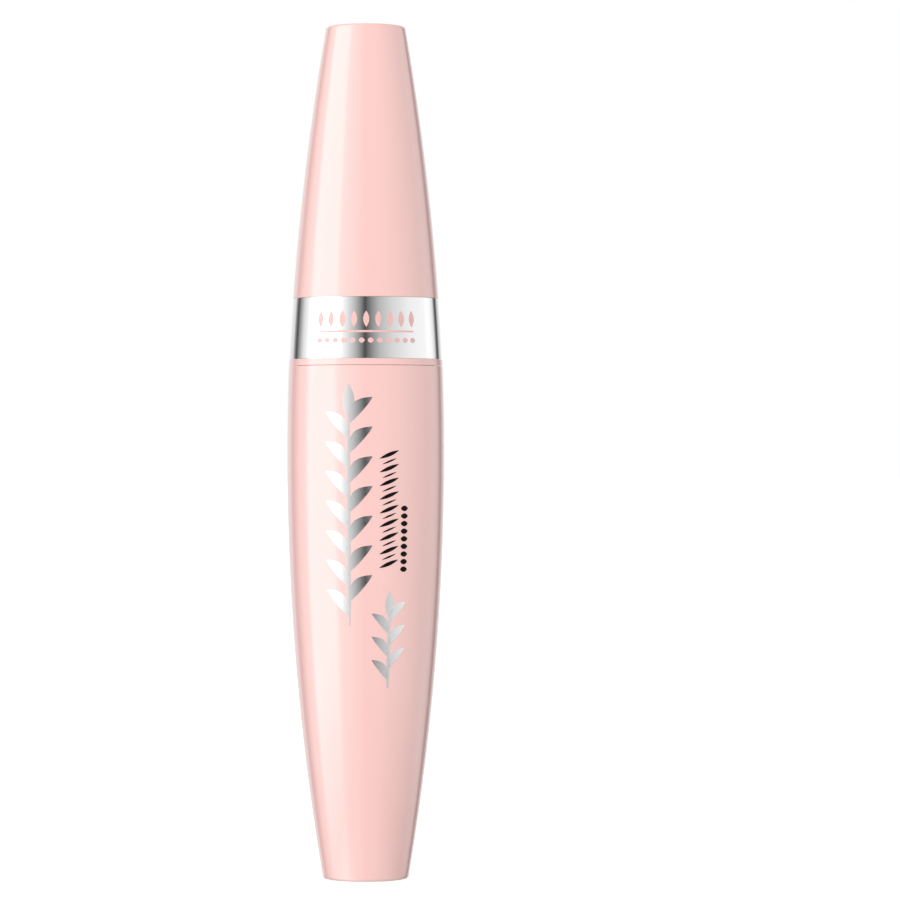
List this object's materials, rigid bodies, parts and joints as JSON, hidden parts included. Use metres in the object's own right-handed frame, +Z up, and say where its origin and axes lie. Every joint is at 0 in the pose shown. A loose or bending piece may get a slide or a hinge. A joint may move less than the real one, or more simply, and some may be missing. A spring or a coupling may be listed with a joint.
{
  "type": "mascara tube",
  "caption": "Slim barrel-shaped mascara tube whose screw cap with a bright metal band lifts out a rod and a moulded bristle brush.",
  "frame": {"origin": "middle of the flat foot that the tube stands on", "axes": "+Z up along the axis of the tube, from the foot to the flat end of the cap; the printed front faces -Y"},
  "size_m": [0.023, 0.023, 0.125],
  "materials": {
    "pink_plastic": "high gloss, injection moulded",
    "black_plastic": "gloss, injection moulded",
    "bright_metal": "bright plated ring, mirror polish",
    "bristle_plastic": "semi-gloss moulded elastomer",
    "soft_black": "soft satin",
    "soft_white": "soft foamed liner",
    "paste": "wet thick paste"
  },
  "bodies": {
    "tube": {"outer_shell": "pink_plastic", "inner_bottle": "black_plastic", "wiper": "soft_black", "mascara_paste": "paste"},
    "seal": {"seal_washer": "soft_white"},
    "cap": {"cap_shell": "pink_plastic", "cap_band": "bright_metal", "cap_rim_ring": "pink_plastic", "inner_cap": "black_plastic", "rod": "black_plastic", "brush": "bristle_plastic"}
  },
  "joints": [
    {"name": "cap_lift", "type": "slide", "parent": "tube", "child": "seal", "axis": [0, 0, 1], "range_m": [0, 0.0865], "deforming": ["wiper"]},
    {"name": "cap_turn", "type": "hinge", "parent": "seal", "child": "cap", "pos_m": [0, 0, 0.0912], "axis": [0, 0, 1], "range_deg": [0, 540]}
  ]
}
